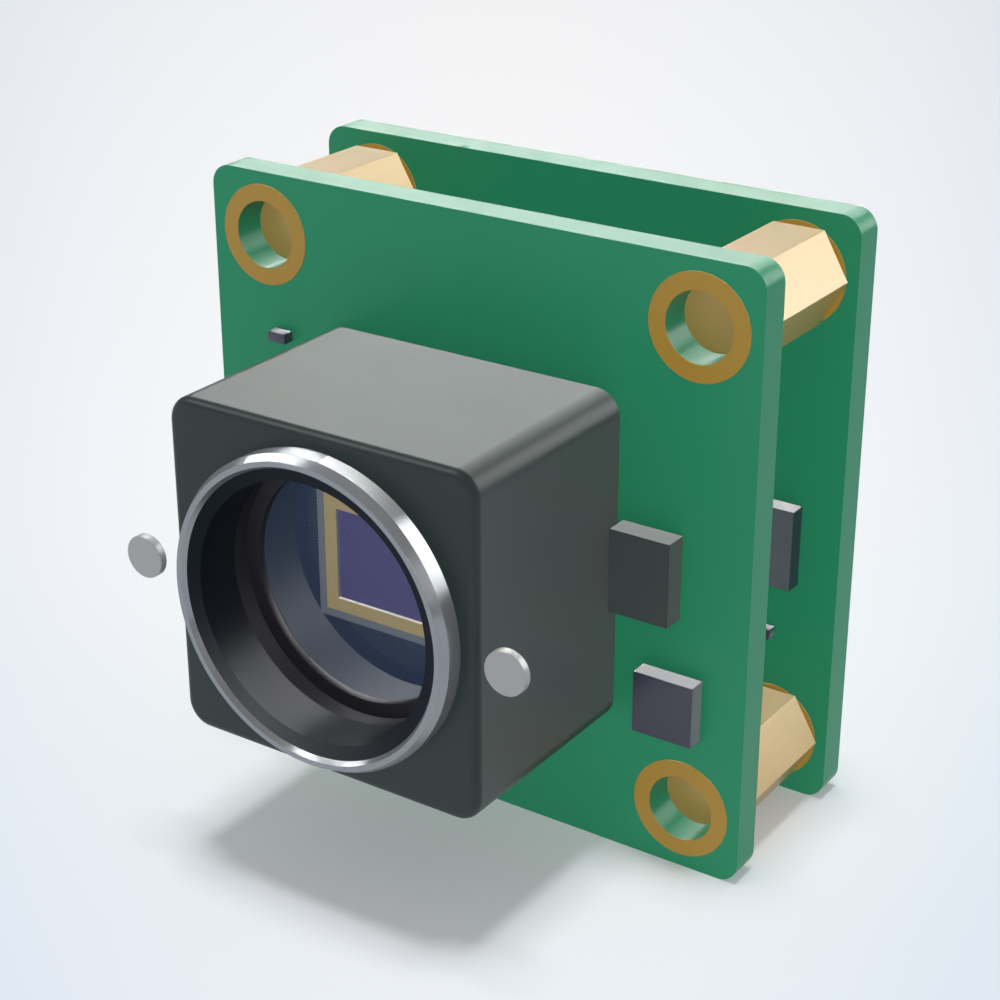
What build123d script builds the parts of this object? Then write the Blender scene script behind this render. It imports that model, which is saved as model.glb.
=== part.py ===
from build123d import *
import os

# Area scan camera on two boards, in millimetres, +Z up, its lens opening towards -Y.
# It stands on the lower edges of its two boards. The lens itself is not fitted.

# Boards
board_size = 29.0
board_thickness = 1.6
board_corner = 1.0
hole_edge = 3.0
hole_radius = 1.6
pad_radius = 2.41
pad_thickness = 0.03

# Standoffs, tapped M3 from the back
standoff_length = 7.1
standoff_across_flats = 4.33
standoff_thread_radius = 1.25
standoff_thread_depth = 5.0

# The lens axis lies this far to the left of the boards' centre and below it
axis_offset = 0.15

# Housing and its neck
housing_wall = 1.1
housing_depth = 10.83
housing_corner = 1.2
housing_front_fillet = 0.4
neck_length = 1.08
neck_wall = 0.5

# Lens thread, M12, drawn at its major diameter
thread_radius = 6.0
thread_length = 2.25
lead_in = 0.34

# Bright ring round the neck
ring_wall = 0.7
ring_height = 1.18
ring_chamfer_width = 0.35
ring_chamfer_height = 0.28
ring_land = 0.05

# Pieces stacked behind the thread
gasket_step = 0.2
gasket_sleeve_length = 1.05
gasket_flange_width = 0.7
gasket_flange_thickness = 0.42
filter_thickness = 0.7
chamber_step = 0.23
chamber_length = 2.28
spacer_wall = 0.67
sensor_board_thickness = 1.0

# Image sensor
window_width = 5.5
window_height = 4.4
frame_side_border = 0.65
frame_top_border = 0.62
frame_thickness = 0.06
package_side_margin = 0.45
package_top_margin = 0.43
package_depth = 1.25
package_floor = 0.5
die_recess = 0.12
cover_thickness = 0.06

# Screws that hold the housing to the front board, M2
screw_edge = 1.77
screw_core_radius = 0.8
screw_board_hole = 1.1
screw_reach = 4.0
screw_tip_room = 1.0
screw_head_radius = 1.75
screw_head_height = 1.2
screw_key_radius = 0.75
screw_key_depth = 0.7

# Discs beside the housing, level with its front
disc_radius = 1.0
disc_thickness = 0.41
disc_gap = 0.6
disc_proud = 0.4

# Chips and small parts: width, height and thickness
supervisor_size = (3.0, 4.0, 1.15)
regulator_size = (3.0, 3.0, 0.9)
interface_size = (3.0, 4.0, 0.9)
processor_size = (9.0, 9.0, 1.2)
oscillator_size = (3.2, 2.5, 0.9)
capacitor_size = (1.0, 0.5, 0.6)
capacitor_pitch = 2.4
capacitor_count = 3

# Gaps that place the chips, from the housing's side or from a board's edges
supervisor_gap = 0.27
regulator_side_gap = 2.14
regulator_low_gap = 6.8
front_capacitor_side_gap = 3.4
front_capacitor_top_gap = 7.45
interface_side_gap = 1.98
interface_low_gap = 11.0
rear_capacitor_side_gap = 3.04
rear_capacitor_low_gap = 8.03
processor_side_gap = 5.6
processor_top_gap = 5.0
oscillator_side_gap = 7.3
oscillator_top_gap = 6.3
capacitor_row_gap = 1.0

# Connector between the two boards
socket_width = 14.0
socket_height = 4.2
socket_depth = 3.0
socket_wall = 0.8
socket_floor = 0.6

# Connector between the sensor board and the front board
sensor_socket_width = 8.8
sensor_socket_height = 3.6
sensor_socket_depth = 2.4
sensor_socket_wall = 0.7
sensor_socket_floor = 0.6
sensor_capacitor_drop = 3.6

# Data receptacle on the back
data_width = 8.9
data_height = 3.2
data_reach = 4.4
data_wall = 0.3
data_floor = 0.8
data_tongue_width = 6.7
data_tongue_thickness = 0.7
data_tongue_recess = 0.6
data_contact_count = 10
data_contact_pitch = 0.5
data_contact_width = 0.25
data_contact_thickness = 0.06
data_chamfer = 0.9

# Power and trigger receptacle on the back
trigger_pin_count = 6
trigger_pitch = 1.25
trigger_end_room = 1.4
trigger_height = 3.8
trigger_reach = 4.0
trigger_wall = 0.5
trigger_floor = 1.0
trigger_pin_width = 0.4
trigger_pin_length = 2.2

# Both receptacles stand this far above the boards' lower edges, and this far apart
receptacle_low_gap = 7.3
receptacle_spacing = 0.85

# Clearances
press_gap = 0.01
slip_gap = 0.03
mate_gap = 0.1

# How far a cut runs past the surface that it opens
overcut = 1.0

# Places that follow from the sizes. Y runs back from the front board's front face.
# X and Z are measured from the boards' centre, and for the pieces of the lens mount
# and the sensor, which save() moves to the lens axis, from that axis.
half_board = board_size / 2
hole_pitch = board_size - 2 * hole_edge
chamber_radius = thread_radius + chamber_step
stack_radius = chamber_radius + spacer_wall
half_housing = stack_radius + housing_wall
housing_width = 2 * half_housing
screw_pitch = housing_width - 2 * screw_edge
front_back = board_thickness
rear_front = front_back + standoff_length
rear_back = rear_front + board_thickness
neck_radius = thread_radius + neck_wall
neck_front = -housing_depth - neck_length
gasket_sleeve_radius = thread_radius + gasket_step
gasket_flange_radius = gasket_sleeve_radius - gasket_flange_width
gasket_front = neck_front + lead_in + thread_length
gasket_ledge = gasket_front + gasket_sleeve_length
filter_front = gasket_ledge + gasket_flange_thickness
filter_back = filter_front + filter_thickness
sensor_front = filter_back + chamber_length
sensor_back = sensor_front + sensor_board_thickness
package_front = sensor_front - package_depth
frame_width = window_width + 2 * frame_side_border
frame_height = window_height + 2 * frame_top_border
package_width = frame_width + 2 * package_side_margin
package_height = frame_height + 2 * package_top_margin
ring_radius = neck_radius + ring_wall
ring_front = -housing_depth - ring_height
trigger_width = (trigger_pin_count - 1) * trigger_pitch + 2 * trigger_end_room
receptacle_z = -half_board + receptacle_low_gap
data_x = (receptacle_spacing + data_width) / 2
trigger_x = -(receptacle_spacing + trigger_width) / 2
disc_x = half_housing + disc_gap + disc_radius
disc_front = -housing_depth - disc_proud

# The origin is under the middle of the whole camera
lens_height = half_board
back_reach = rear_back + max(data_reach, trigger_reach)
middle = (ring_front + back_reach) / 2


def block(width, height, y_front, y_back, x=0.0, z=0.0, corner=0.0):
    """A block facing the front, its four long edges rounded by corner."""
    shape = Pos(x, (y_front + y_back) / 2, z) * Box(width, y_back - y_front, height)
    return fillet(shape.edges().filter_by(Axis.Y), corner) if corner else shape


def rod(radius, y_front, y_back, x=0.0, z=0.0):
    """A round rod along Y."""
    middle_y = (y_front + y_back) / 2
    return Pos(x, middle_y, z) * Rot(90, 0, 0) * Cylinder(radius, y_back - y_front)


def tube(outer, inner, y_front, y_back, x=0.0, z=0.0):
    return rod(outer, y_front, y_back, x, z) - rod(inner, y_front - overcut, y_back + overcut, x, z)


def turned(points):
    """A turned solid from points given as radius and y."""
    return revolve(make_face(Polyline(*points, close=True)), Axis.Y)


def corners(pitch):
    """The four corners of a square pitch, left to right and bottom to top."""
    return [(x * pitch / 2, z * pitch / 2) for z in (-1, 1) for x in (-1, 1)]


def screw_places():
    """The housing is held at two opposite corners."""
    return corners(screw_pitch)[1:3]


def shifted_screw_holes():
    return [(x - axis_offset, z - axis_offset, screw_board_hole) for x, z in screw_places()]


def group(shapes):
    return Compound(children=[solid for shape in shapes for solid in shape.solids()])


def save(name, shape, offset=0.0):
    """Writes a piece in its place, moved left and down by offset."""
    placed = Pos(-offset, -middle, lens_height - offset) * shape
    export_step(placed, os.path.join("parts", name + ".step"))


# Boards, pads and standoffs
def board(y_front, extra_holes=()):
    shape = block(board_size, board_size, y_front, y_front + board_thickness, corner=board_corner)
    holes = [(x, z, hole_radius) for x, z in corners(hole_pitch)] + list(extra_holes)
    for x, z, radius in holes:
        shape -= rod(radius, y_front - overcut, y_front + board_thickness + overcut, x, z)
    return shape


def pads(y_front):
    return group(tube(pad_radius, hole_radius, y_front, y_front + pad_thickness, x, z)
                 for x, z in corners(hole_pitch))


def standoff(x, z):
    outline = RegularPolygon(standoff_across_flats / 2, 6, major_radius=False)
    hexagon = extrude(Plane((x, front_back, z), (1, 0, 0), (0, 1, 0)) * outline, standoff_length)
    thread_front = rear_front - standoff_thread_depth
    return hexagon - rod(standoff_thread_radius, thread_front, rear_front + overcut, x, z)


# Housing, ring and discs
def housing():
    body = block(housing_width, housing_width, -housing_depth, 0, corner=housing_corner)
    front = body.faces().sort_by(Axis.Y)[0]
    body = fillet(front.edges(), housing_front_fillet)
    body += rod(neck_radius, neck_front, -housing_depth + housing_front_fillet)
    mouth = neck_front - overcut
    body -= turned([(0, mouth), (neck_radius, mouth), (neck_radius, neck_front),
                    (thread_radius, neck_front + lead_in), (thread_radius, gasket_front),
                    (stack_radius, gasket_front), (stack_radius, overcut), (0, overcut)])
    for x, z in screw_places():
        body -= rod(screw_core_radius, -screw_reach - screw_tip_room, overcut, x, z)
    return body


def mount_ring():
    inner = neck_radius + press_gap
    land_radius = ring_radius - ring_chamfer_width
    return turned([(inner, -housing_depth), (ring_radius, -housing_depth),
                   (ring_radius, ring_front + ring_chamfer_height), (land_radius, ring_front),
                   (land_radius - ring_land, ring_front), (inner, neck_front)])


def side_disc(side):
    return rod(disc_radius, disc_front, disc_front + disc_thickness, side * disc_x)


def housing_screw(x, z):
    head_back = front_back + screw_head_height
    screw = rod(screw_core_radius - slip_gap, -screw_reach, front_back, x, z)
    screw += rod(screw_head_radius, front_back, head_back, x, z)
    key = RegularPolygon(screw_key_radius, 6)
    key_face = Plane((x, head_back - screw_key_depth, z), (1, 0, 0), (0, 1, 0)) * key
    return screw - extrude(key_face, screw_key_depth + overcut)


# Stack behind the thread
def gasket():
    outer = stack_radius - slip_gap
    return turned([(gasket_sleeve_radius, gasket_front), (outer, gasket_front),
                   (outer, filter_front), (gasket_flange_radius, filter_front),
                   (gasket_flange_radius, gasket_ledge), (gasket_sleeve_radius, gasket_ledge)])


def sensor_package():
    floor_front = sensor_front - package_floor
    shape = block(package_width, package_height, package_front, sensor_front)
    return shape - block(window_width, window_height, package_front - overcut, floor_front)


def sensor_frame():
    shape = block(frame_width, frame_height, package_front - frame_thickness, package_front)
    return shape - block(window_width, window_height,
                         package_front - overcut, package_front + overcut)


def window_fill(y_front, y_back):
    return block(window_width - 2 * slip_gap, window_height - 2 * slip_gap, y_front, y_back)


def sensor_die():
    return window_fill(package_front + die_recess, sensor_front - package_floor)


def cover_glass():
    front = package_front - frame_thickness
    return window_fill(front, front + cover_thickness)


# Connectors
def socket(width, height, wall, floor, y_mouth, y_board):
    """A block with a slot in its mouth; the board may lie either way along Y."""
    away = 1 if y_board > y_mouth else -1
    shape = block(width, height, min(y_mouth, y_board), max(y_mouth, y_board))
    ends = sorted((y_mouth - away * overcut, y_board - away * floor))
    return shape - block(width - 2 * wall, height - 2 * wall, *ends)


def plug(width, height, wall, floor, y_board, y_mouth, y_far_board):
    """A block that fills the room up to a socket's mouth, and its tongue in the slot."""
    away = 1 if y_far_board > y_mouth else -1
    base_ends = sorted((y_board, y_mouth - away * mate_gap))
    tongue_ends = sorted((y_board, y_far_board - away * (floor + mate_gap)))
    tongue = block(width - 2 * wall - 2 * mate_gap, height - 2 * wall - 2 * mate_gap, *tongue_ends)
    return block(width, height, *base_ends) + tongue


def data_outline(inset, y_front, y_back):
    width, height = data_width - 2 * inset, data_height - 2 * inset
    shape = block(width, height, y_front, y_back, data_x, receptacle_z)
    return chamfer(shape.edges().filter_by(Axis.Y), data_chamfer - inset / 2)


def data_shell():
    mouth = rear_back + data_reach
    inside = data_outline(data_wall, rear_back - overcut, mouth + overcut)
    return data_outline(0, rear_back, mouth) - inside


def data_tongue():
    base = data_outline(data_wall + press_gap, rear_back, rear_back + data_floor)
    end = rear_back + data_reach - data_tongue_recess
    return base + block(data_tongue_width, data_tongue_thickness, rear_back, end,
                        data_x, receptacle_z)


def data_contacts():
    first = data_x - (data_contact_count - 1) * data_contact_pitch / 2
    rise = (data_tongue_thickness + data_contact_thickness) / 2
    end = rear_back + data_reach - data_tongue_recess - mate_gap
    return group(block(data_contact_width, data_contact_thickness, rear_back + data_floor, end,
                       first + i * data_contact_pitch, receptacle_z + side * rise)
                 for side in (-1, 1) for i in range(data_contact_count))


def trigger_housing():
    mouth = rear_back + trigger_reach
    shape = block(trigger_width, trigger_height, rear_back, mouth, trigger_x, receptacle_z)
    return shape - block(trigger_width - 2 * trigger_wall, trigger_height - 2 * trigger_wall,
                         rear_back + trigger_floor, mouth + overcut, trigger_x, receptacle_z)


def trigger_pins():
    first = trigger_x - (trigger_pin_count - 1) * trigger_pitch / 2
    floor = rear_back + trigger_floor
    return group(block(trigger_pin_width, trigger_pin_width, floor, floor + trigger_pin_length,
                       first + i * trigger_pitch, receptacle_z)
                 for i in range(trigger_pin_count))


# Chips
def chip(size, y_board, x, z, side=-1):
    """A chip on a board's face; side is -1 in front of the board and 1 behind it."""
    width, height, thickness = size
    y_front, y_back = sorted((y_board, y_board + side * thickness))
    return block(width, height, y_front, y_back, x, z)


def right_edge(gap, size):
    return half_board - gap - size[0] / 2


def left_edge(gap, size):
    return -right_edge(gap, size)


def low_edge(gap, size):
    return -half_board + gap + size[1] / 2


def top_edge(gap, size):
    return half_board - gap - size[1] / 2


def capacitor_row(y_board, side, x, z):
    first = x - (capacitor_count - 1) * capacitor_pitch / 2
    return group(chip(capacitor_size, y_board, first + i * capacitor_pitch, z, side)
                 for i in range(capacitor_count))


def save_boards():
    save("front_board", board(0, shifted_screw_holes()))
    save("rear_board", board(rear_front))
    save("front_board_pads", pads(-pad_thickness))
    names = ("bottom_left", "bottom_right", "top_left", "top_right")
    for name, (x, z) in zip(names, corners(hole_pitch)):
        save("standoff_" + name, standoff(x, z))


def save_lens_mount():
    """Housing, ring, discs and the pieces stacked in the bore."""
    pieces = {
        "lens_mount_housing": housing(),
        "mount_ring": mount_ring(),
        "housing_screws": group(housing_screw(x, z) for x, z in screw_places()),
        "side_discs": group(side_disc(side) for side in (-1, 1)),
        "filter_gasket": gasket(),
        "infrared_filter": rod(stack_radius - slip_gap, filter_front, filter_back),
        "chamber_spacer": tube(stack_radius - slip_gap, chamber_radius,
                               filter_back, sensor_front),
    }
    for name, shape in pieces.items():
        save(name, shape, axis_offset)


def save_sensor():
    sizes = (sensor_socket_width, sensor_socket_height, sensor_socket_wall, sensor_socket_floor)
    pieces = {
        "sensor_board": rod(stack_radius - slip_gap, sensor_front, sensor_back),
        "sensor_package": sensor_package(),
        "sensor_frame": sensor_frame(),
        "sensor_die": sensor_die(),
        "sensor_cover_glass": cover_glass(),
        "sensor_socket": socket(*sizes, -sensor_socket_depth, 0),
        "sensor_plug": plug(*sizes, sensor_back, -sensor_socket_depth, 0),
        "sensor_board_capacitors": capacitor_row(sensor_back, 1, 0, sensor_capacitor_drop),
    }
    for name, shape in pieces.items():
        save(name, shape, axis_offset)


def save_connectors():
    sizes = (socket_width, socket_height, socket_wall, socket_floor)
    mouth = rear_front - socket_depth
    save("board_socket", socket(*sizes, mouth, rear_front))
    save("board_header", plug(*sizes, front_back, mouth, rear_front))
    save("data_shell", data_shell())
    save("data_tongue", data_tongue())
    save("data_contacts", data_contacts())
    save("trigger_housing", trigger_housing())
    save("trigger_pins", trigger_pins())


def save_chips():
    supervisor_x = half_housing - axis_offset + supervisor_gap + supervisor_size[0] / 2
    save("supervisor_chip", chip(supervisor_size, 0, supervisor_x, 0))
    save("regulator_chip", chip(regulator_size, 0, right_edge(regulator_side_gap, regulator_size),
                                low_edge(regulator_low_gap, regulator_size)))
    save("front_capacitor", chip(capacitor_size, 0,
                                 left_edge(front_capacitor_side_gap, capacitor_size),
                                 top_edge(front_capacitor_top_gap, capacitor_size)))
    save("interface_chip", chip(interface_size, rear_front,
                                right_edge(interface_side_gap, interface_size),
                                low_edge(interface_low_gap, interface_size)))
    save("rear_board_capacitor", chip(capacitor_size, rear_front,
                                      right_edge(rear_capacitor_side_gap, capacitor_size),
                                      low_edge(rear_capacitor_low_gap, capacitor_size)))
    processor_x = left_edge(processor_side_gap, processor_size)
    processor_z = top_edge(processor_top_gap, processor_size)
    save("processor_chip", chip(processor_size, rear_back, processor_x, processor_z, 1))
    save("oscillator", chip(oscillator_size, rear_back,
                            right_edge(oscillator_side_gap, oscillator_size),
                            top_edge(oscillator_top_gap, oscillator_size), 1))
    row_z = processor_z - (processor_size[1] + capacitor_size[1]) / 2 - capacitor_row_gap
    save("processor_capacitors", capacitor_row(rear_back, 1, processor_x, row_z))


os.makedirs("parts", exist_ok=True)
save_boards()
save_lens_mount()
save_sensor()
save_connectors()
save_chips()
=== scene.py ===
import math

import bmesh
import bpy
from mathutils import Matrix, Vector


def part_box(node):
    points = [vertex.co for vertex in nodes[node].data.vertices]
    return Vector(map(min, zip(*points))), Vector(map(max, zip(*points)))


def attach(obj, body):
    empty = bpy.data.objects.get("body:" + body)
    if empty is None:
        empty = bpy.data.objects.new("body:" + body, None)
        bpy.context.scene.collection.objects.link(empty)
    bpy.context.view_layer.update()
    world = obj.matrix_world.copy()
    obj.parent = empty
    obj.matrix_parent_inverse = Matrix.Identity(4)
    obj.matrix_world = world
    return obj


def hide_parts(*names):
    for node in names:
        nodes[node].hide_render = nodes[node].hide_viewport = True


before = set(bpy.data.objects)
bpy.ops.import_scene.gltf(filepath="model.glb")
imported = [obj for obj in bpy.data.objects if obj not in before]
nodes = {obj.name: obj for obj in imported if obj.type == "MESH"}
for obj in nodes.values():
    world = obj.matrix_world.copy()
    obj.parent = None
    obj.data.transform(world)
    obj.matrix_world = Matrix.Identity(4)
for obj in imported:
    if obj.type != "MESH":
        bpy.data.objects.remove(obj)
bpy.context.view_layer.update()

scene = bpy.context.scene

# Sizes below are in millimetres: X and Z from the middle of the boards,
# and Y towards the back from the front board's front face
boardLow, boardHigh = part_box("front_board")
place = (Matrix.Translation((0, boardLow.y, (boardLow.z + boardHigh.z) / 2))
         @ Matrix.Scale(0.001, 4))
print("frame loaded:", len(nodes), "nodes")


def localBox(nodeName):
    back = place.inverted()
    return [back @ Vector(corner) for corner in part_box(nodeName)]


# The lens axis passes through the middle of the sensor package
packageLow, packageHigh = localBox("sensor_package")
axisX, axisZ = (packageLow.x + packageHigh.x) / 2, (packageLow.z + packageHigh.z) / 2


# How far a cutting tool stands past the face that it opens
overcut = 1.0


# Mesh helpers
def cuboid(bm, width, height, yFront, yBack, x=0.0, z=0.0):
    matrix = (Matrix.Translation((x, (yFront + yBack) / 2, z))
              @ Matrix.Diagonal((width, yBack - yFront, height, 1)))
    return bmesh.ops.create_cube(bm, size=1, matrix=matrix)["verts"]


def fillBox(bm, low, high):
    cuboid(bm, high.x - low.x, high.z - low.z, low.y, high.y,
           (low.x + high.x) / 2, (low.z + high.z) / 2)


def edgesAlong(bm, axis):
    chosen = []
    for edge in bm.edges:
        run = edge.verts[1].co - edge.verts[0].co
        if run.length > 1e-6 and abs(run.normalized()[axis]) > 0.999:
            chosen.append(edge)
    return chosen


def ringEdges(bm, y):
    return [e for e in bm.edges if all(abs(v.co.y - y) < 1e-4 for v in e.verts)]


def sharpEdges(bm, angle=30):
    limit = math.radians(angle)
    return [e for e in bm.edges if len(e.link_faces) == 2 and e.calc_face_angle(0) > limit]


def bevelEdges(bm, edges, radius, segments):
    bmesh.ops.bevel(bm, geom=list(edges), offset=radius, offset_type="OFFSET", segments=segments,
                    profile=0.5, affect="EDGES", material=-1, clamp_overlap=True)


def turn(bm, points, steps, x=0.0, z=0.0):
    # points are pairs of radius and y, turned about Y
    verts = [bm.verts.new((radius, y, 0)) for radius, y in points]
    edges = [bm.edges.new((verts[i], verts[(i + 1) % len(verts)])) for i in range(len(verts))]
    bmesh.ops.spin(bm, geom=verts + edges, cent=(0, 0, 0), axis=(0, 1, 0), dvec=(0, 0, 0),
                   angle=2 * math.pi, steps=steps, use_merge=True, use_duplicate=False)
    bmesh.ops.remove_doubles(bm, verts=bm.verts, dist=1e-4)
    bmesh.ops.translate(bm, verts=bm.verts, vec=(x, 0, z))


def turned(points, steps, x=0.0, z=0.0):
    bm = bmesh.new()
    turn(bm, points, steps, x, z)
    return bm


def join(bm, other):
    mesh = bpy.data.meshes.new("joined")
    other.to_mesh(mesh)
    other.free()
    bm.from_mesh(mesh)
    bpy.data.meshes.remove(mesh)


def rodTool(radius, yFront, yBack, x=0.0, z=0.0, steps=64):
    return turned(((0, yFront), (radius, yFront), (radius, yBack), (0, yBack)), steps, x, z)


def carve(bm, toolBm):
    pair = []
    for name, part in (("carveBody", bm), ("carveTool", toolBm)):
        bmesh.ops.recalc_face_normals(part, faces=part.faces)
        mesh = bpy.data.meshes.new(name)
        part.to_mesh(mesh)
        part.free()
        pair.append(bpy.data.objects.new(name, mesh))
        scene.collection.objects.link(pair[-1])
    modifier = pair[0].modifiers.new("carve", "BOOLEAN")
    modifier.operation, modifier.object, modifier.solver = "DIFFERENCE", pair[1], "EXACT"
    evaluated = pair[0].evaluated_get(bpy.context.evaluated_depsgraph_get())
    result = bmesh.new()
    result.from_mesh(evaluated.to_mesh())
    evaluated.to_mesh_clear()
    for thing in pair:
        mesh = thing.data
        bpy.data.objects.remove(thing)
        bpy.data.meshes.remove(mesh)
    bmesh.ops.remove_doubles(result, verts=result.verts, dist=1e-4)
    return result


def finishPiece(name, bm, slotName, replaced=(), rounding=0.0, roundSteps=2, smoothAngle=30,
                finish=None):
    # Rounds the sharp edges, puts the mesh in its place and gives it a body and a finish, the
    # slot's unless another is named
    bmesh.ops.remove_doubles(bm, verts=bm.verts, dist=1e-4)
    bmesh.ops.recalc_face_normals(bm, faces=bm.faces)
    if rounding:
        bevelEdges(bm, sharpEdges(bm), rounding, roundSteps)
    bmesh.ops.transform(bm, matrix=place, verts=bm.verts)
    mesh = bpy.data.meshes.new(name)
    bm.to_mesh(mesh)
    bm.free()
    mesh.polygons.foreach_set("use_smooth", [True] * len(mesh.polygons))
    mesh.set_sharp_from_angle(angle=math.radians(smoothAngle))
    piece = bpy.data.objects.new(name, mesh)
    scene.collection.objects.link(piece)
    # Normals weighted by area keep the flats flat beside their rounded edges
    weighted = piece.modifiers.new("weighted", "WEIGHTED_NORMAL")
    weighted.keep_sharp = True
    evaluated = piece.evaluated_get(bpy.context.evaluated_depsgraph_get())
    flat = bpy.data.meshes.new_from_object(evaluated)
    piece.modifiers.clear()
    piece.data = flat
    bpy.data.meshes.remove(mesh)
    flat.name = name
    flat.materials.clear()
    flat.materials.append(made[finish or finishOf[slotName]])
    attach(piece, "root")
    if replaced:
        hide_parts(*replaced)
    return piece


# Shader groups
def newGroup(name, inputs, outputs):
    group = bpy.data.node_groups.new(name, "ShaderNodeTree")
    for socketName, kind, value in inputs:
        socket = group.interface.new_socket(socketName, in_out="INPUT",
                                            socket_type="NodeSocket" + kind)
        if value is not None:
            socket.default_value = value
    for socketName, kind in outputs:
        group.interface.new_socket(socketName, in_out="OUTPUT",
                                   socket_type="NodeSocket" + kind)
    source = group.nodes.new("NodeGroupInput")
    target = group.nodes.new("NodeGroupOutput")
    return group, source, target


def connect(tree, value, socket):
    if isinstance(value, (int, float, tuple, list)):
        socket.default_value = value
    else:
        tree.links.new(value, socket)


def mathNode(tree, operation, first, second, clamped=False):
    node = tree.nodes.new("ShaderNodeMath")
    node.operation, node.use_clamp = operation, clamped
    connect(tree, first, node.inputs[0])
    connect(tree, second, node.inputs[1])
    return node.outputs[0]


def noiseNode(tree, vector, scale, detail=3.0, roughness=0.55):
    node = tree.nodes.new("ShaderNodeTexNoise")
    node.inputs["Detail"].default_value = detail
    node.inputs["Roughness"].default_value = roughness
    connect(tree, vector, node.inputs["Vector"])
    connect(tree, scale, node.inputs["Scale"])
    return node.outputs["Fac"]


def rangeNode(tree, value, low, high):
    node = tree.nodes.new("ShaderNodeMapRange")
    connect(tree, value, node.inputs["Value"])
    connect(tree, low, node.inputs["To Min"])
    connect(tree, high, node.inputs["To Max"])
    return node.outputs["Result"]


def mixColour(tree, factor, first, second):
    node = tree.nodes.new("ShaderNodeMix")
    node.data_type = "RGBA"
    connect(tree, factor, node.inputs["Factor"])
    for name, end in (("A", first), ("B", second)):
        connect(tree, end, [s for s in node.inputs if s.name == name and s.type == "RGBA"][0])
    return [s for s in node.outputs if s.type == "RGBA"][0]


grain = {"broadShare": 0.06, "broadDetail": 2.0, "shade": 0.93, "scale": 4000.0, "bump": 0.1,
         "bumpDistance": 0.00001}


def makeGrainGroup():
    # Fine and broad noise together shade the colour, and the broad one alone the roughness
    group, source, target = newGroup("fineGrain", (
        ("Vector", "Vector", None), ("Main", "Color", (0.5, 0.5, 0.5, 1)),
        ("Shade", "Color", (0.4, 0.4, 0.4, 1)), ("Scale", "Float", 4000.0),
        ("Roughness Low", "Float", 0.4), ("Roughness High", "Float", 0.5)),
        (("Color", "Color"), ("Roughness", "Float"), ("Height", "Float")))
    fine = noiseNode(group, source.outputs["Vector"], source.outputs["Scale"])
    broad = noiseNode(group, source.outputs["Vector"],
                      mathNode(group, "MULTIPLY", source.outputs["Scale"], grain["broadShare"]),
                      grain["broadDetail"])
    blend = mathNode(group, "MULTIPLY", mathNode(group, "ADD", fine, broad), 0.5)
    group.links.new(mixColour(group, blend, source.outputs["Main"], source.outputs["Shade"]),
                    target.inputs["Color"])
    group.links.new(rangeNode(group, broad, source.outputs["Roughness Low"],
                              source.outputs["Roughness High"]), target.inputs["Roughness"])
    group.links.new(fine, target.inputs["Height"])
    return group


grainGroup = makeGrainGroup()


def newMaterial(name, look):
    material = bpy.data.materials.new(name)
    material.use_nodes = True
    tree = material.node_tree
    shader = tree.nodes["Principled BSDF"]
    for socketName, value in look["sockets"].items():
        shader.inputs[socketName].default_value = value
    coordinates = tree.nodes.new("ShaderNodeTexCoord")
    node = tree.nodes.new("ShaderNodeGroup")
    node.node_tree = grainGroup
    vector = coordinates.outputs["Object"]
    if "stretch" in look:
        mapping = tree.nodes.new("ShaderNodeMapping")
        mapping.inputs["Scale"].default_value = look["stretch"]
        tree.links.new(vector, mapping.inputs["Vector"])
        vector = mapping.outputs["Vector"]
    tree.links.new(vector, node.inputs["Vector"])
    main, shade = look["colour"], look.get("shade", grain["shade"])
    node.inputs["Main"].default_value = (*main, 1)
    node.inputs["Shade"].default_value = (*[c * shade for c in main], 1)
    node.inputs["Scale"].default_value = look.get("scale", grain["scale"])
    node.inputs["Roughness Low"].default_value = look["roughness"][0]
    node.inputs["Roughness High"].default_value = look["roughness"][1]
    tree.links.new(node.outputs["Color"], shader.inputs["Base Color"])
    tree.links.new(node.outputs["Roughness"], shader.inputs["Roughness"])
    bump = tree.nodes.new("ShaderNodeBump")
    bump.inputs["Strength"].default_value = look.get("bump", grain["bump"])
    bump.inputs["Distance"].default_value = grain["bumpDistance"]
    tree.links.new(node.outputs["Height"], bump.inputs["Height"])
    tree.links.new(bump.outputs["Normal"], shader.inputs["Normal"])
    return material


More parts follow.
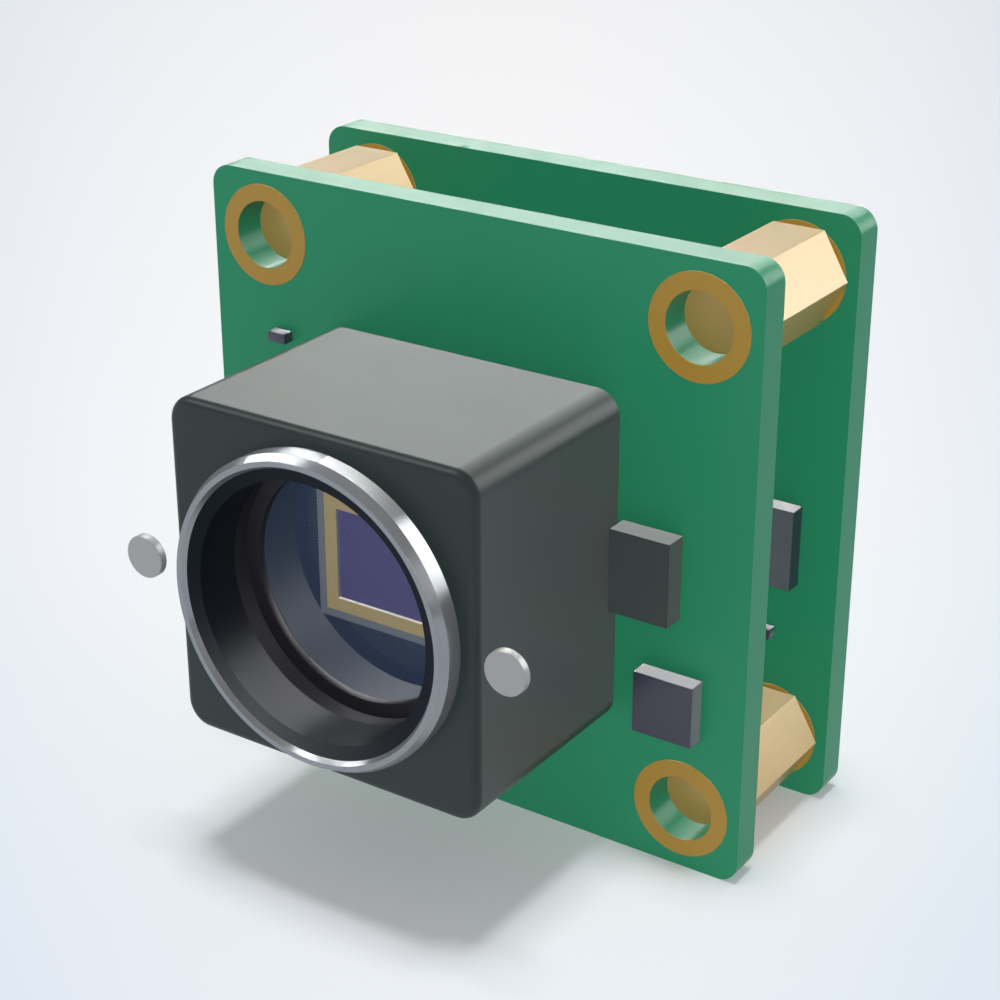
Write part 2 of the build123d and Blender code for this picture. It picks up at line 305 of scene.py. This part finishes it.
# Plain values go on the shader's sockets, and a stretch draws the grain out along the piece
finishes = {
    "solderMask": {"colour": (0.018, 0.190, 0.093), "roughness": (0.26, 0.32), "shade": 0.97,
                   "sockets": {"Specular IOR Level": 0.15}},
    "goldPad": {"colour": (0.300, 0.178, 0.026), "roughness": (0.30, 0.36), "shade": 0.96,
                "sockets": {"Specular IOR Level": 0.3}},
    "standoffBrass": {"colour": (0.36, 0.235, 0.070), "roughness": (0.26, 0.32),
                      "stretch": (1, 0.06, 1),
                      "sockets": {"Metallic": 0.16, "Specular IOR Level": 0.6}},
    "blackHousing": {"colour": (0.017, 0.025, 0.024), "roughness": (0.36, 0.42), "bump": 0.05,
                     "sockets": {"Specular IOR Level": 0.27}},
    # Darker copies of the housing's black for the bore wall and its lead-in: painted shade inside
    # the bore
    "paintedShadeBore": {"colour": (0.002, 0.004, 0.007), "roughness": (0.36, 0.42),
                  "sockets": {"Specular IOR Level": 0.22}},
    "brightRing": {"colour": (0.265, 0.275, 0.29), "roughness": (0.15, 0.2), "scale": 6000.0,
                   "sockets": {"Metallic": 0.66}},
    "paintedShadeLeadIn": {"colour": (0.001, 0.002, 0.004), "roughness": (0.34, 0.4),
                   "sockets": {"Specular IOR Level": 0.06}},
    # A pale finish for the bar that is a painted highlight on the cover glass's lower edge
    "paintedEdgeHighlight": {"colour": (0.85, 0.80, 0.78), "roughness": (0.3, 0.4), "sockets": {}},
    "discSteel": {"colour": (0.30, 0.30, 0.30), "roughness": (0.28, 0.34),
                  "sockets": {"Metallic": 0.3}},
    "screwSteel": {"colour": (0.50, 0.50, 0.51), "roughness": (0.25, 0.34),
                   "sockets": {"Metallic": 1.0}},
    "blackGasket": {"colour": (0.009, 0.008, 0.012), "roughness": (0.40, 0.48),
                    "sockets": {"Specular IOR Level": 0.4}},
    "chamberGrey": {"colour": (0.037, 0.048, 0.068), "roughness": (0.4, 0.5),
                    "sockets": {"Specular IOR Level": 0.32}},
    "darkBoard": {"colour": (0.029, 0.041, 0.070), "roughness": (0.45, 0.5),
                  "sockets": {"Specular IOR Level": 0.2}},
    "greyCeramic": {"colour": (0.180, 0.196, 0.212), "roughness": (0.5, 0.6),
                    "sockets": {"Specular IOR Level": 0.2}},
    "sealGold": {"colour": (0.48, 0.365, 0.155), "roughness": (0.4, 0.5),
                 "sockets": {"Specular IOR Level": 0.2}},
    "dieViolet": {"colour": (0.084, 0.068, 0.200), "roughness": (0.4, 0.45),
                  "sockets": {"Specular IOR Level": 0.2}},
    "darkChip": {"colour": (0.022, 0.030, 0.029), "roughness": (0.38, 0.44),
                 "sockets": {"Specular IOR Level": 0.3}},
    "greyChip": {"colour": (0.022, 0.021, 0.040), "roughness": (0.28, 0.34),
                 "sockets": {"Specular IOR Level": 0.75}},
    "blackConnector": {"colour": (0.02, 0.02, 0.022), "roughness": (0.4, 0.5), "sockets": {}},
    "whiteConnector": {"colour": (0.72, 0.69, 0.62), "roughness": (0.4, 0.5), "sockets": {}},
    "contactGold": {"colour": (0.80, 0.58, 0.25), "roughness": (0.2, 0.3),
                    "sockets": {"Metallic": 1.0}},
    "shellSteel": {"colour": (0.55, 0.55, 0.56), "roughness": (0.22, 0.3),
                   "sockets": {"Metallic": 1.0}},
}
made = {name: newMaterial(name, look) for name, look in finishes.items()}


# Alpha is how much of the light the glass itself stops
glasses = {"filterGlass": {"colour": (0.03, 0.05, 0.10), "alpha": 0.16},
           "coverGlass": {"colour": (0.05, 0.06, 0.10), "alpha": 0.04}}
polish = {"scale": 300.0, "detail": 2.0, "roughness": (0.03, 0.06)}


def newGlass(name, look):
    material = bpy.data.materials.new(name)
    material.use_nodes = True
    tree = material.node_tree
    shader = tree.nodes["Principled BSDF"]
    shader.inputs["Base Color"].default_value = (*look["colour"], 1)
    shader.inputs["Alpha"].default_value = look["alpha"]
    # A faint unevenness in the polish
    coordinates = tree.nodes.new("ShaderNodeTexCoord")
    cloud = noiseNode(tree, coordinates.outputs["Object"], polish["scale"], polish["detail"])
    tree.links.new(rangeNode(tree, cloud, *polish["roughness"]), shader.inputs["Roughness"])
    return material


for glassName, look in glasses.items():
    made[glassName] = newGlass(glassName, look)

# The finish that each slot of the record takes, unless a piece names another
finishOf = {
    "board_green": "solderMask", "pad_gold": "goldPad", "brass": "standoffBrass",
    "housing_black": "blackHousing", "bright_ring": "brightRing", "disc_grey": "discSteel",
    "screw_steel": "screwSteel", "gasket_dark": "blackGasket", "filter_blue": "filterGlass",
    "spacer_grey": "chamberGrey", "sensor_board_dark": "darkBoard", "ceramic_grey": "greyCeramic",
    "seal_gold": "sealGold", "die_purple": "dieViolet", "clear_glass": "coverGlass",
    "chip_dark": "darkChip", "chip_grey": "greyChip", "connector_black": "blackConnector",
    "connector_white": "whiteConnector", "contact_gold": "contactGold", "shell_steel": "shellSteel",
}

# CAD nodes that keep their own mesh. The others are replaced below, and take a plain finish
nodeFinish = {
    "front_board": "solderMask", "rear_board": "solderMask", "housing_screws": "screwSteel",
    "sensor_board": "darkBoard", "sensor_die": "dieViolet", "sensor_cover_glass": "coverGlass",
    "sensor_socket": "blackConnector", "sensor_plug": "blackConnector",
    "sensor_board_capacitors": "greyCeramic", "board_socket": "blackConnector",
    "board_header": "blackConnector", "data_tongue": "blackConnector",
    "data_contacts": "contactGold", "trigger_pins": "contactGold",
}
for nodeName in nodes:
    mesh = nodes[nodeName].data
    mesh.materials.clear()
    mesh.materials.append(made[nodeFinish.get(nodeName, "blackConnector")])
print("materials:", len(made))

# The photograph's viewpoint, in metres
cameraView = {"place": (0.051453, -0.075056, 0.055509), "forward": (-0.51120, 0.75674, -0.40745),
              "lens": 77.62, "sensor": 36.0, "clip": (0.002, 10.0)}
cameraData = bpy.data.cameras.new("camera")
cameraData.lens = cameraView["lens"]
cameraData.sensor_width = cameraView["sensor"]
cameraData.clip_start, cameraData.clip_end = cameraView["clip"]
camera = bpy.data.objects.new("camera", cameraData)
camera.location = cameraView["place"]
camera.rotation_mode = "QUATERNION"
camera.rotation_quaternion = Vector(cameraView["forward"]).to_track_quat("-Z", "Y")
scene.collection.objects.link(camera)
scene.camera = camera

# Round pads on both faces of each board, about the four mounting holes
pad = {"inner": 1.6, "outer": 2.41, "height": 0.03, "edge": 0.012, "holePlace": 11.5, "steps": 96}
holes = [(x * pad["holePlace"], z * pad["holePlace"]) for x in (-1, 1) for z in (-1, 1)]


def addPads(bm, face, away):
    # away is -1 for a board's front face and 1 for its back face
    top = face + away * pad["height"]
    slope = top - away * pad["edge"]
    for x, z in holes:
        join(bm, turned(((pad["inner"], face), (pad["outer"], face), (pad["outer"], slope),
                         (pad["outer"] - pad["edge"], top), (pad["inner"] + pad["edge"], top),
                         (pad["inner"], slope)), pad["steps"], x, z))


frontFace, rearFace = localBox("front_board"), localBox("rear_board")
bm = bmesh.new()
addPads(bm, frontFace[0].y, -1)
finishPiece("frontPads", bm, "pad_gold", ["front_board_pads"])
bm = bmesh.new()
addPads(bm, frontFace[1].y, 1)
addPads(bm, rearFace[0].y, -1)
addPads(bm, rearFace[1].y, 1)
finishPiece("innerPads", bm, "pad_gold")

# Hexagonal standoffs, tapped from the back
standoff = {"flats": 4.33, "edge": 0.02, "tap": 1.25, "tapDepth": 5.0, "tapTip": 0.4,
            "mouth": 1.5, "mouthDepth": 0.25, "steps": 48}
standoffNodes = {"standoffBottomLeft": "standoff_bottom_left",
                 "standoffTopLeft": "standoff_top_left",
                 "standoffBottomRight": "standoff_bottom_right",
                 "standoffTopRight": "standoff_top_right"}
for pieceName, nodeName in standoffNodes.items():
    low, high = localBox(nodeName)
    x, z = (low.x + high.x) / 2, (low.z + high.z) / 2
    bm = bmesh.new()
    bmesh.ops.create_circle(bm, cap_ends=True, radius=standoff["flats"] / math.sqrt(3), segments=6,
                            matrix=Matrix.Translation((x, low.y, z))
                            @ Matrix.Rotation(math.radians(90), 4, "X")
                            @ Matrix.Rotation(math.radians(30), 4, "Z"))
    raised = bmesh.ops.extrude_face_region(bm, geom=bm.faces[:])["geom"]
    bmesh.ops.translate(bm, vec=(0, high.y - low.y, 0),
                        verts=[v for v in raised if isinstance(v, bmesh.types.BMVert)])
    bmesh.ops.recalc_face_normals(bm, faces=bm.faces)
    bevelEdges(bm, sharpEdges(bm), standoff["edge"], 1)
    tapFront, tapBack = high.y - standoff["tapDepth"], high.y + overcut
    tap = turned(((0, tapFront - standoff["tapTip"]), (standoff["tap"], tapFront),
                  (standoff["tap"], high.y - standoff["mouthDepth"]), (standoff["mouth"], high.y),
                  (standoff["mouth"], tapBack), (0, tapBack)), standoff["steps"], x, z)
    finishPiece(pieceName, carve(bm, tap), "brass", [nodeName])
print("boards, pads and standoffs dressed")

# Housing: a square block with rounded edges. The neck's tube passes through its front, and the
# wider cavity behind it, up to the front board, holds the gasket, filter, spacer and sensor.
# The tool that opens both starts at toolFront
housing = {"width": 16.0, "depth": 10.83, "corner": 1.2, "cornerSteps": 10, "front": 0.4,
           "frontSteps": 6, "neck": 6.57, "cavity": 6.9, "steps": 160,
           "toolFront": -13.0, "screwRadius": 0.8, "screwDepth": 5.0, "screwPitch": 12.46,
           "screwSteps": 32}
# Where each piece in the bore begins, from front to back
stack = {"neckFront": -11.785, "leadIn": 0.215, "thread": 6.0, "gasketFront": -9.32, "ledge": -8.27,
         "filterFront": -7.85, "filterBack": -7.15, "sensorFront": -4.87}
bm = bmesh.new()
cuboid(bm, housing["width"], housing["width"], -housing["depth"], 0, axisX, axisZ)
bevelEdges(bm, edgesAlong(bm, 1), housing["corner"], housing["cornerSteps"])
bevelEdges(bm, ringEdges(bm, -housing["depth"]), housing["front"], housing["frontSteps"])
bm = carve(bm, turned(((0, housing["toolFront"]), (housing["neck"], housing["toolFront"]),
                       (housing["neck"], stack["gasketFront"]),
                       (housing["cavity"], stack["gasketFront"]),
                       (housing["cavity"], overcut), (0, overcut)),
                      housing["steps"], axisX, axisZ))
for side in (-1, 1):
    bm = carve(bm, rodTool(housing["screwRadius"], -housing["screwDepth"], overcut,
                           axisX - side * housing["screwPitch"] / 2,
                           axisZ + side * housing["screwPitch"] / 2, housing["screwSteps"]))
finishPiece("housingShell", bm, "housing_black", ["lens_mount_housing"])

# The neck stands out of the front: a steep lead-in, and the smooth wall of the bore behind it. Both
# take a darker copy of the housing's black, as painted shade in the bore
leadInBack = stack["neckFront"] + stack["leadIn"]
bm = turned(((housing["neck"], stack["neckFront"]), (stack["thread"], leadInBack),
             (housing["neck"], leadInBack)), housing["steps"], axisX, axisZ)
finishPiece("lensLeadIn", bm, "housing_black", finish="paintedShadeLeadIn")
bm = turned(((housing["neck"], leadInBack), (stack["thread"], leadInBack),
             (stack["thread"], stack["gasketFront"]), (housing["neck"], stack["gasketFront"])),
            housing["steps"], axisX, axisZ)
finishPiece("lensThread", bm, "housing_black", finish="paintedShadeBore")

# Bright ring round the neck: a side, a steep chamfer, a narrow land and a slope back to the neck
ring = {"inner": 6.58, "landInner": 6.73, "landOuter": 6.97, "outer": 7.2, "back": -10.83,
        "side": -11.62, "front": -12.01, "smoothAngle": 12, "steps": 192}
bm = turned(((ring["inner"], ring["back"]), (ring["outer"], ring["back"]),
             (ring["outer"], ring["side"]), (ring["landOuter"], ring["front"]),
             (ring["landInner"], ring["front"]), (ring["inner"], stack["neckFront"])),
            ring["steps"], axisX, axisZ)
finishPiece("mountRing", bm, "bright_ring", ["mount_ring"], smoothAngle=ring["smoothAngle"])

# Small discs that stand beside the housing, level with its front
disc = {"radius": 1.0, "front": -11.23, "thickness": 0.41, "x": 9.6, "edge": 0.04, "steps": 72}
bm = bmesh.new()
for side in (-1, 1):
    back, e = disc["front"] + disc["thickness"], disc["edge"]
    join(bm, turned(((0, disc["front"]), (disc["radius"] - e, disc["front"]),
                     (disc["radius"], disc["front"] + e), (disc["radius"], back - e),
                     (disc["radius"] - e, back), (0, back)),
                    disc["steps"], axisX + side * disc["x"], axisZ))
finishPiece("sideDiscs", bm, "disc_grey", ["side_discs"])
print("housing, ring and discs dressed")

# Gasket: a sleeve behind the thread and a flange that holds the filter
gasket = {"sleeve": 6.2, "outer": 6.87, "flange": 5.5, "edge": 0.03, "steps": 160}
bm = turned(((gasket["sleeve"], stack["gasketFront"]), (gasket["outer"], stack["gasketFront"]),
             (gasket["outer"], stack["filterFront"]), (gasket["flange"], stack["filterFront"]),
             (gasket["flange"], stack["ledge"]), (gasket["sleeve"], stack["ledge"])),
            gasket["steps"], axisX, axisZ)
finishPiece("filterGasket", bm, "gasket_dark", ["filter_gasket"], gasket["edge"])

# Blue filter disc, and the tube that keeps the sensor board away from it
glass = {"radius": 6.87, "edge": 0.1, "steps": 128}
front, back, e = stack["filterFront"], stack["filterBack"], glass["edge"]
bm = turned(((0, front), (glass["radius"] - e, front), (glass["radius"], front + e),
             (glass["radius"], back - e), (glass["radius"] - e, back), (0, back)),
            glass["steps"], axisX, axisZ)
finishPiece("infraredFilter", bm, "filter_blue", ["infrared_filter"])

spacer = {"inner": 6.23, "outer": 6.87, "steps": 160}
bm = turned(((spacer["inner"], stack["filterBack"]), (spacer["outer"], stack["filterBack"]),
             (spacer["outer"], stack["sensorFront"]), (spacer["inner"], stack["sensorFront"])),
            spacer["steps"], axisX, axisZ)
finishPiece("chamberSpacer", bm, "spacer_grey", ["chamber_spacer"])

# Image sensor: ceramic package, gilt frame round the window
sensor = {"windowWidth": 5.5, "windowHeight": 4.4, "packageFloor": 0.5, "edge": 0.04,
          "frameEdge": 0.012}
bm = bmesh.new()
fillBox(bm, packageLow, packageHigh)
hollow = bmesh.new()
cuboid(hollow, sensor["windowWidth"], sensor["windowHeight"], packageLow.y - overcut,
       packageHigh.y - sensor["packageFloor"], axisX, axisZ)
finishPiece("sensorPackage", carve(bm, hollow), "ceramic_grey", ["sensor_package"], sensor["edge"])
low, high = localBox("sensor_frame")
bm = bmesh.new()
fillBox(bm, low, high)
hollow = bmesh.new()
cuboid(hollow, sensor["windowWidth"], sensor["windowHeight"], low.y - overcut, high.y + overcut,
       axisX, axisZ)
finishPiece("sensorFrame", carve(bm, hollow), "seal_gold", ["sensor_frame"],
            sensor["frameEdge"], 1)
# A pale bar along the window's lower edge is a painted highlight: it stands where the cover glass's
# edge catches the light
paintedEdgeHighlight = {"width": 5.4, "height": 0.04, "inset": 0.05, "rounding": 0.01}
bm = bmesh.new()
cuboid(bm, paintedEdgeHighlight["width"], paintedEdgeHighlight["height"], low.y, high.y,
       axisX, axisZ - sensor["windowHeight"] / 2 + paintedEdgeHighlight["inset"])
finishPiece("coverGlassEdge", bm, "clear_glass", (), paintedEdgeHighlight["rounding"], 1,
            finish="paintedEdgeHighlight")
print("bore and sensor dressed")

# Chips and their fine moulded edges
chips = {"supervisorChip": ("supervisor_chip", "chip_dark", 0.03),
         "regulatorChip": ("regulator_chip", "chip_grey", 0.03),
         "frontCapacitor": ("front_capacitor", "chip_grey", 0.02),
         "interfaceChip": ("interface_chip", "chip_grey", 0.03),
         "rearBoardCapacitor": ("rear_board_capacitor", "chip_grey", 0.02)}
for pieceName, (nodeName, slotName, edge) in chips.items():
    bm = bmesh.new()
    fillBox(bm, *localBox(nodeName))
    finishPiece(pieceName, bm, slotName, [nodeName], edge)

# Processor, with a round mark moulded in one corner, and the oscillator's steel can
processor = {"edge": 0.06, "markRadius": 0.4, "markDepth": 0.06, "markInset": 1.1,
             "markSteps": 40}
low, high = localBox("processor_chip")
bm = bmesh.new()
fillBox(bm, low, high)
bmesh.ops.recalc_face_normals(bm, faces=bm.faces)
bevelEdges(bm, sharpEdges(bm), processor["edge"], 2)
mark = rodTool(processor["markRadius"], high.y - processor["markDepth"], high.y + overcut,
               high.x - processor["markInset"], high.z - processor["markInset"],
               processor["markSteps"])
finishPiece("processorChip", carve(bm, mark), "chip_dark", ["processor_chip"])

oscillator = {"corner": 0.45, "lidCorner": 0.35, "cornerSteps": 5, "lidInset": 0.22,
              "lidHeight": 0.2, "baseEdge": 0.03, "lidEdge": 0.06}
low, high = localBox("oscillator")
centre = (low + high) / 2
lidBack, lidFront = high.y, high.y - oscillator["lidHeight"]
bm = bmesh.new()
cuboid(bm, high.x - low.x, high.z - low.z, low.y, lidFront, centre.x, centre.z)
bevelEdges(bm, edgesAlong(bm, 1), oscillator["corner"], oscillator["cornerSteps"])
finishPiece("oscillatorBase", bm, "ceramic_grey", ["oscillator"], oscillator["baseEdge"])
bm = bmesh.new()
inset = 2 * oscillator["lidInset"]
cuboid(bm, high.x - low.x - inset, high.z - low.z - inset, lidFront, lidBack, centre.x, centre.z)
bevelEdges(bm, edgesAlong(bm, 1), oscillator["lidCorner"], oscillator["cornerSteps"])
finishPiece("oscillatorLid", bm, "shell_steel", (), oscillator["lidEdge"])

# Rear capacitors: a ceramic body between two metal ends
capacitor = {"width": 1.0, "pitch": 2.4, "count": 3, "end": 0.22, "proud": 0.02,
             "bodyInset": 0.1, "bodyEdge": 0.03, "endEdge": 0.04}
low, high = localBox("processor_capacitors")
bodies, ends = bmesh.new(), bmesh.new()
for i in range(capacitor["count"]):
    left = low.x + i * capacitor["pitch"]
    right = left + capacitor["width"]
    inside = Vector((capacitor["bodyInset"], capacitor["proud"], capacitor["proud"]))
    fillBox(bodies, Vector((left, low.y, low.z)) + inside, Vector((right, high.y, high.z)) - inside)
    fillBox(ends, Vector((left, low.y, low.z)), Vector((left + capacitor["end"], high.y, high.z)))
    fillBox(ends, Vector((right - capacitor["end"], low.y, low.z)), Vector((right, high.y, high.z)))
finishPiece("capacitorBodies", bodies, "ceramic_grey", ["processor_capacitors"],
            capacitor["bodyEdge"])
finishPiece("capacitorEnds", ends, "shell_steel", (), capacitor["endEdge"])
print("chips dressed")

# Data receptacle: a folded steel shell with chamfered corners
shell = {"wall": 0.3, "chamfer": 0.9, "edge": 0.05}
low, high = localBox("data_shell")
centre = (low + high) / 2
width, height = high.x - low.x, high.z - low.z
bm, hollow = bmesh.new(), bmesh.new()
cuboid(bm, width, height, low.y, high.y, centre.x, centre.z)
bevelEdges(bm, edgesAlong(bm, 1), shell["chamfer"], 1)
inset = 2 * shell["wall"]
cuboid(hollow, width - inset, height - inset, low.y - overcut, high.y + overcut,
       centre.x, centre.z)
bevelEdges(hollow, edgesAlong(hollow, 1), shell["chamfer"] - shell["wall"] / 2, 1)
finishPiece("dataShell", carve(bm, hollow), "shell_steel", ["data_shell"], shell["edge"])

# Power and trigger receptacle: a pale box, open to the back, round the row of pins
trigger = {"wall": 0.5, "floor": 1.0, "edge": 0.08}
low, high = localBox("trigger_housing")
centre = (low + high) / 2
width, height = high.x - low.x, high.z - low.z
bm, hollow = bmesh.new(), bmesh.new()
cuboid(bm, width, height, low.y, high.y, centre.x, centre.z)
cuboid(hollow, width - 2 * trigger["wall"], height - 2 * trigger["wall"],
       low.y + trigger["floor"], high.y + overcut, centre.x, centre.z)
finishPiece("triggerHousing", carve(bm, hollow), "connector_white", ["trigger_housing"],
            trigger["edge"])
print("connectors dressed")


# Pale floor, in metres, with a painted falloff of light: nearly white in the middle, and painted
# darker and cooler in a fan to both sides and again near the camera
floorLook = {"size": 3.0, "middle": (0.975, 0.975, 0.985, 1), "paintedFalloff": (0.765, 0.820, 0.900, 1),
             "turn": 34.04, "fanReach": 0.114, "fanLeast": 0.05, "fanGain": 13.2,
             "nearStart": 0.040, "nearGain": 17.8, "nearShare": 0.45}


def makeFloor():
    bm = bmesh.new()
    bmesh.ops.create_grid(bm, x_segments=1, y_segments=1, size=floorLook["size"])
    mesh = bpy.data.meshes.new("floor")
    bm.to_mesh(mesh)
    bm.free()
    floor = bpy.data.objects.new("floor", mesh)
    scene.collection.objects.link(floor)
    material = bpy.data.materials.new("paleFloor")
    material.use_nodes = True
    tree = material.node_tree
    shader = tree.nodes["Principled BSDF"]
    shader.inputs["Roughness"].default_value = 1.0
    shader.inputs["Specular IOR Level"].default_value = 0.0
    mapping = tree.nodes.new("ShaderNodeMapping")
    mapping.inputs["Rotation"].default_value = (0, 0, -math.radians(floorLook["turn"]))
    coordinates = tree.nodes.new("ShaderNodeTexCoord")
    tree.links.new(coordinates.outputs["Object"], mapping.inputs["Vector"])
    split = tree.nodes.new("ShaderNodeSeparateXYZ")
    tree.links.new(mapping.outputs["Vector"], split.inputs["Vector"])
    across, along = split.outputs["X"], split.outputs["Y"]
    # This mask paints the floor darker and cooler to the sides and near the camera: a painted
    # falloff of light
    depth = mathNode(tree, "ADD", along, floorLook["fanReach"])
    fan = mathNode(tree, "DIVIDE", across, mathNode(tree, "MAXIMUM", depth, floorLook["fanLeast"]))
    sides = mathNode(tree, "POWER", mathNode(tree, "ABSOLUTE", fan, 0.0), 2.0)
    sides = mathNode(tree, "MULTIPLY", sides, floorLook["fanGain"])
    near = mathNode(tree, "SUBTRACT", floorLook["nearStart"], along)
    near = mathNode(tree, "MULTIPLY", mathNode(tree, "MAXIMUM", near, 0.0), floorLook["nearGain"])
    near = mathNode(tree, "POWER", near, 2.0)
    near = mathNode(tree, "MULTIPLY", near, floorLook["nearShare"])
    paintedFalloff = mathNode(tree, "ADD", sides, near, True)
    tree.links.new(mixColour(tree, paintedFalloff, floorLook["middle"], floorLook["paintedFalloff"]),
                   shader.inputs["Base Color"])
    mesh.materials.append(material)


def chosenObjects(name, objectNames, state):
    # A collection that says which objects a lamp reaches, or which it leaves out
    collection = bpy.data.collections.new(name)
    for objectName in objectNames:
        collection.objects.link(bpy.data.objects[objectName])
    for entry in collection.collection_objects:
        entry.light_linking.link_state = state
    return collection


# Plain soft light. The lamps cast no shadow: the sun alone throws the one on the floor.
# Azimuth runs from straight behind the camera body towards +X, in degrees as elevation does
lighting = {"world": 0.255, "worldColour": (1, 0.985, 0.975, 1), "sun": 1.56, "sunAngle": 14,
            "sunColour": (0.98, 0.99, 1), "lampDistance": 1.0, "aim": (0, 0, 0.012)}
standoffNames = list(standoffNodes)
boreNames = ["lensThread", "lensLeadIn"]
# The boxes show in polished faces. They leave the floor out, so that its shadow stays clear,
# and each part of the bore has boxes of its own
reaches = {
    "offFloor": ("EXCLUDE", ["floor"] + boreNames),
    "onRing": ("INCLUDE", ["mountRing"]),
    "onBore": ("INCLUDE", ["lensThread"]),
    "onLeadIn": ("INCLUDE", ["lensLeadIn"]),
    "offStandoffs": ("EXCLUDE", ["floor"] + boreNames + standoffNames),
    "onStandoffs": ("INCLUDE", standoffNames),
    "darkFronts": ("INCLUDE", ["supervisorChip", "interfaceChip", "rearBoardCapacitor"]),
    "darkSides": ("INCLUDE", ["housingShell", "supervisorChip", "regulatorChip",
                              "rearBoardCapacitor"]),
}
lamps = {
    "rearLeftBox": {"from": (-21, 28), "size": (0.93, 0.62), "radiance": 4.2,
                    "reach": "offStandoffs"},
    "standoffBox": {"from": (-21, 28), "size": (0.93, 0.62), "radiance": 1.6,
                    "reach": "onStandoffs"},
    "rearRightBox": {"from": (33, 20), "size": (0.36, 0.62), "radiance": 7.0,
                     "reach": "offFloor"},
    "leftBox": {"from": (-83, 38), "size": (0.4, 0.66), "radiance": 5.0, "reach": "onRing"},
    "boreBox": {"from": (10, 42), "size": (1.15, 0.8), "radiance": 5.2, "reach": "onBore"},
    "boreFill": {"from": (-45, 18), "size": (0.5, 0.6), "radiance": 0.5, "reach": "onBore"},
    "leadInBox": {"from": (-165, 4), "size": (0.45, 0.4), "radiance": 26.0,
                  "reach": "onLeadIn"},
    "leadInFill": {"from": (-138, 3), "size": (0.4, 0.4), "radiance": 6.0,
                   "reach": "onLeadIn"},
    "frontKey": {"from": (160, 27), "size": (0.8, 0.6), "radiance": 3.95, "shines": False},
    "rightFill": {"from": (104, 22), "size": (0.5, 0.5), "radiance": 0.8},
    "frontLeftBox": {"from": (-128, 48), "size": (0.45, 0.45), "radiance": 5.5,
                     "reach": "offFloor"},
    "lowFrontBox": {"from": (-146, -24), "size": (0.6, 0.5), "radiance": 1.1,
                    "reach": "darkFronts"},
    "lowRearBox": {"from": (34, -24), "size": (0.6, 0.5), "radiance": 0.8,
                   "reach": "darkSides"},
}


def areaLamp(name, look, reach):
    azimuth, elevation = [math.radians(angle) for angle in look["from"]]
    away = Vector((math.sin(azimuth) * math.cos(elevation),
                   math.cos(azimuth) * math.cos(elevation), math.sin(elevation)))
    width, height = look["size"]
    lampData = bpy.data.lights.new(name, "AREA")
    lampData.shape = "RECTANGLE"
    lampData.size, lampData.size_y = width, height
    lampData.energy = look["radiance"] * math.pi * width * height
    lampData.use_shadow = False
    lampData.cycles.use_multiple_importance_sampling = False
    lamp = bpy.data.objects.new(name, lampData)
    lamp.location = Vector(lighting["aim"]) + away * lighting["lampDistance"]
    lamp.rotation_mode = "QUATERNION"
    lamp.rotation_quaternion = (-away).to_track_quat("-Z", "Y")
    lamp.light_linking.receiver_collection = reach
    lamp.visible_glossy = look.get("shines", True)
    scene.collection.objects.link(lamp)


makeFloor()
world = bpy.data.worlds.new("studio")
world.use_nodes = True
background = world.node_tree.nodes["Background"]
background.inputs["Color"].default_value = lighting["worldColour"]
background.inputs["Strength"].default_value = lighting["world"]
scene.world = world
sunData = bpy.data.lights.new("overheadSun", "SUN")
sunData.energy = lighting["sun"]
sunData.angle = math.radians(lighting["sunAngle"])
sunData.color = lighting["sunColour"]
sun = bpy.data.objects.new("overheadSun", sunData)
sun.visible_glossy = False
scene.collection.objects.link(sun)
chosen = {name: chosenObjects(name, members, state)
          for name, (state, members) in reaches.items()}
for lampName, look in lamps.items():
    areaLamp(lampName, look, chosen.get(look.get("reach")))
scene.view_settings.view_transform = "Standard"
print("stage lit")
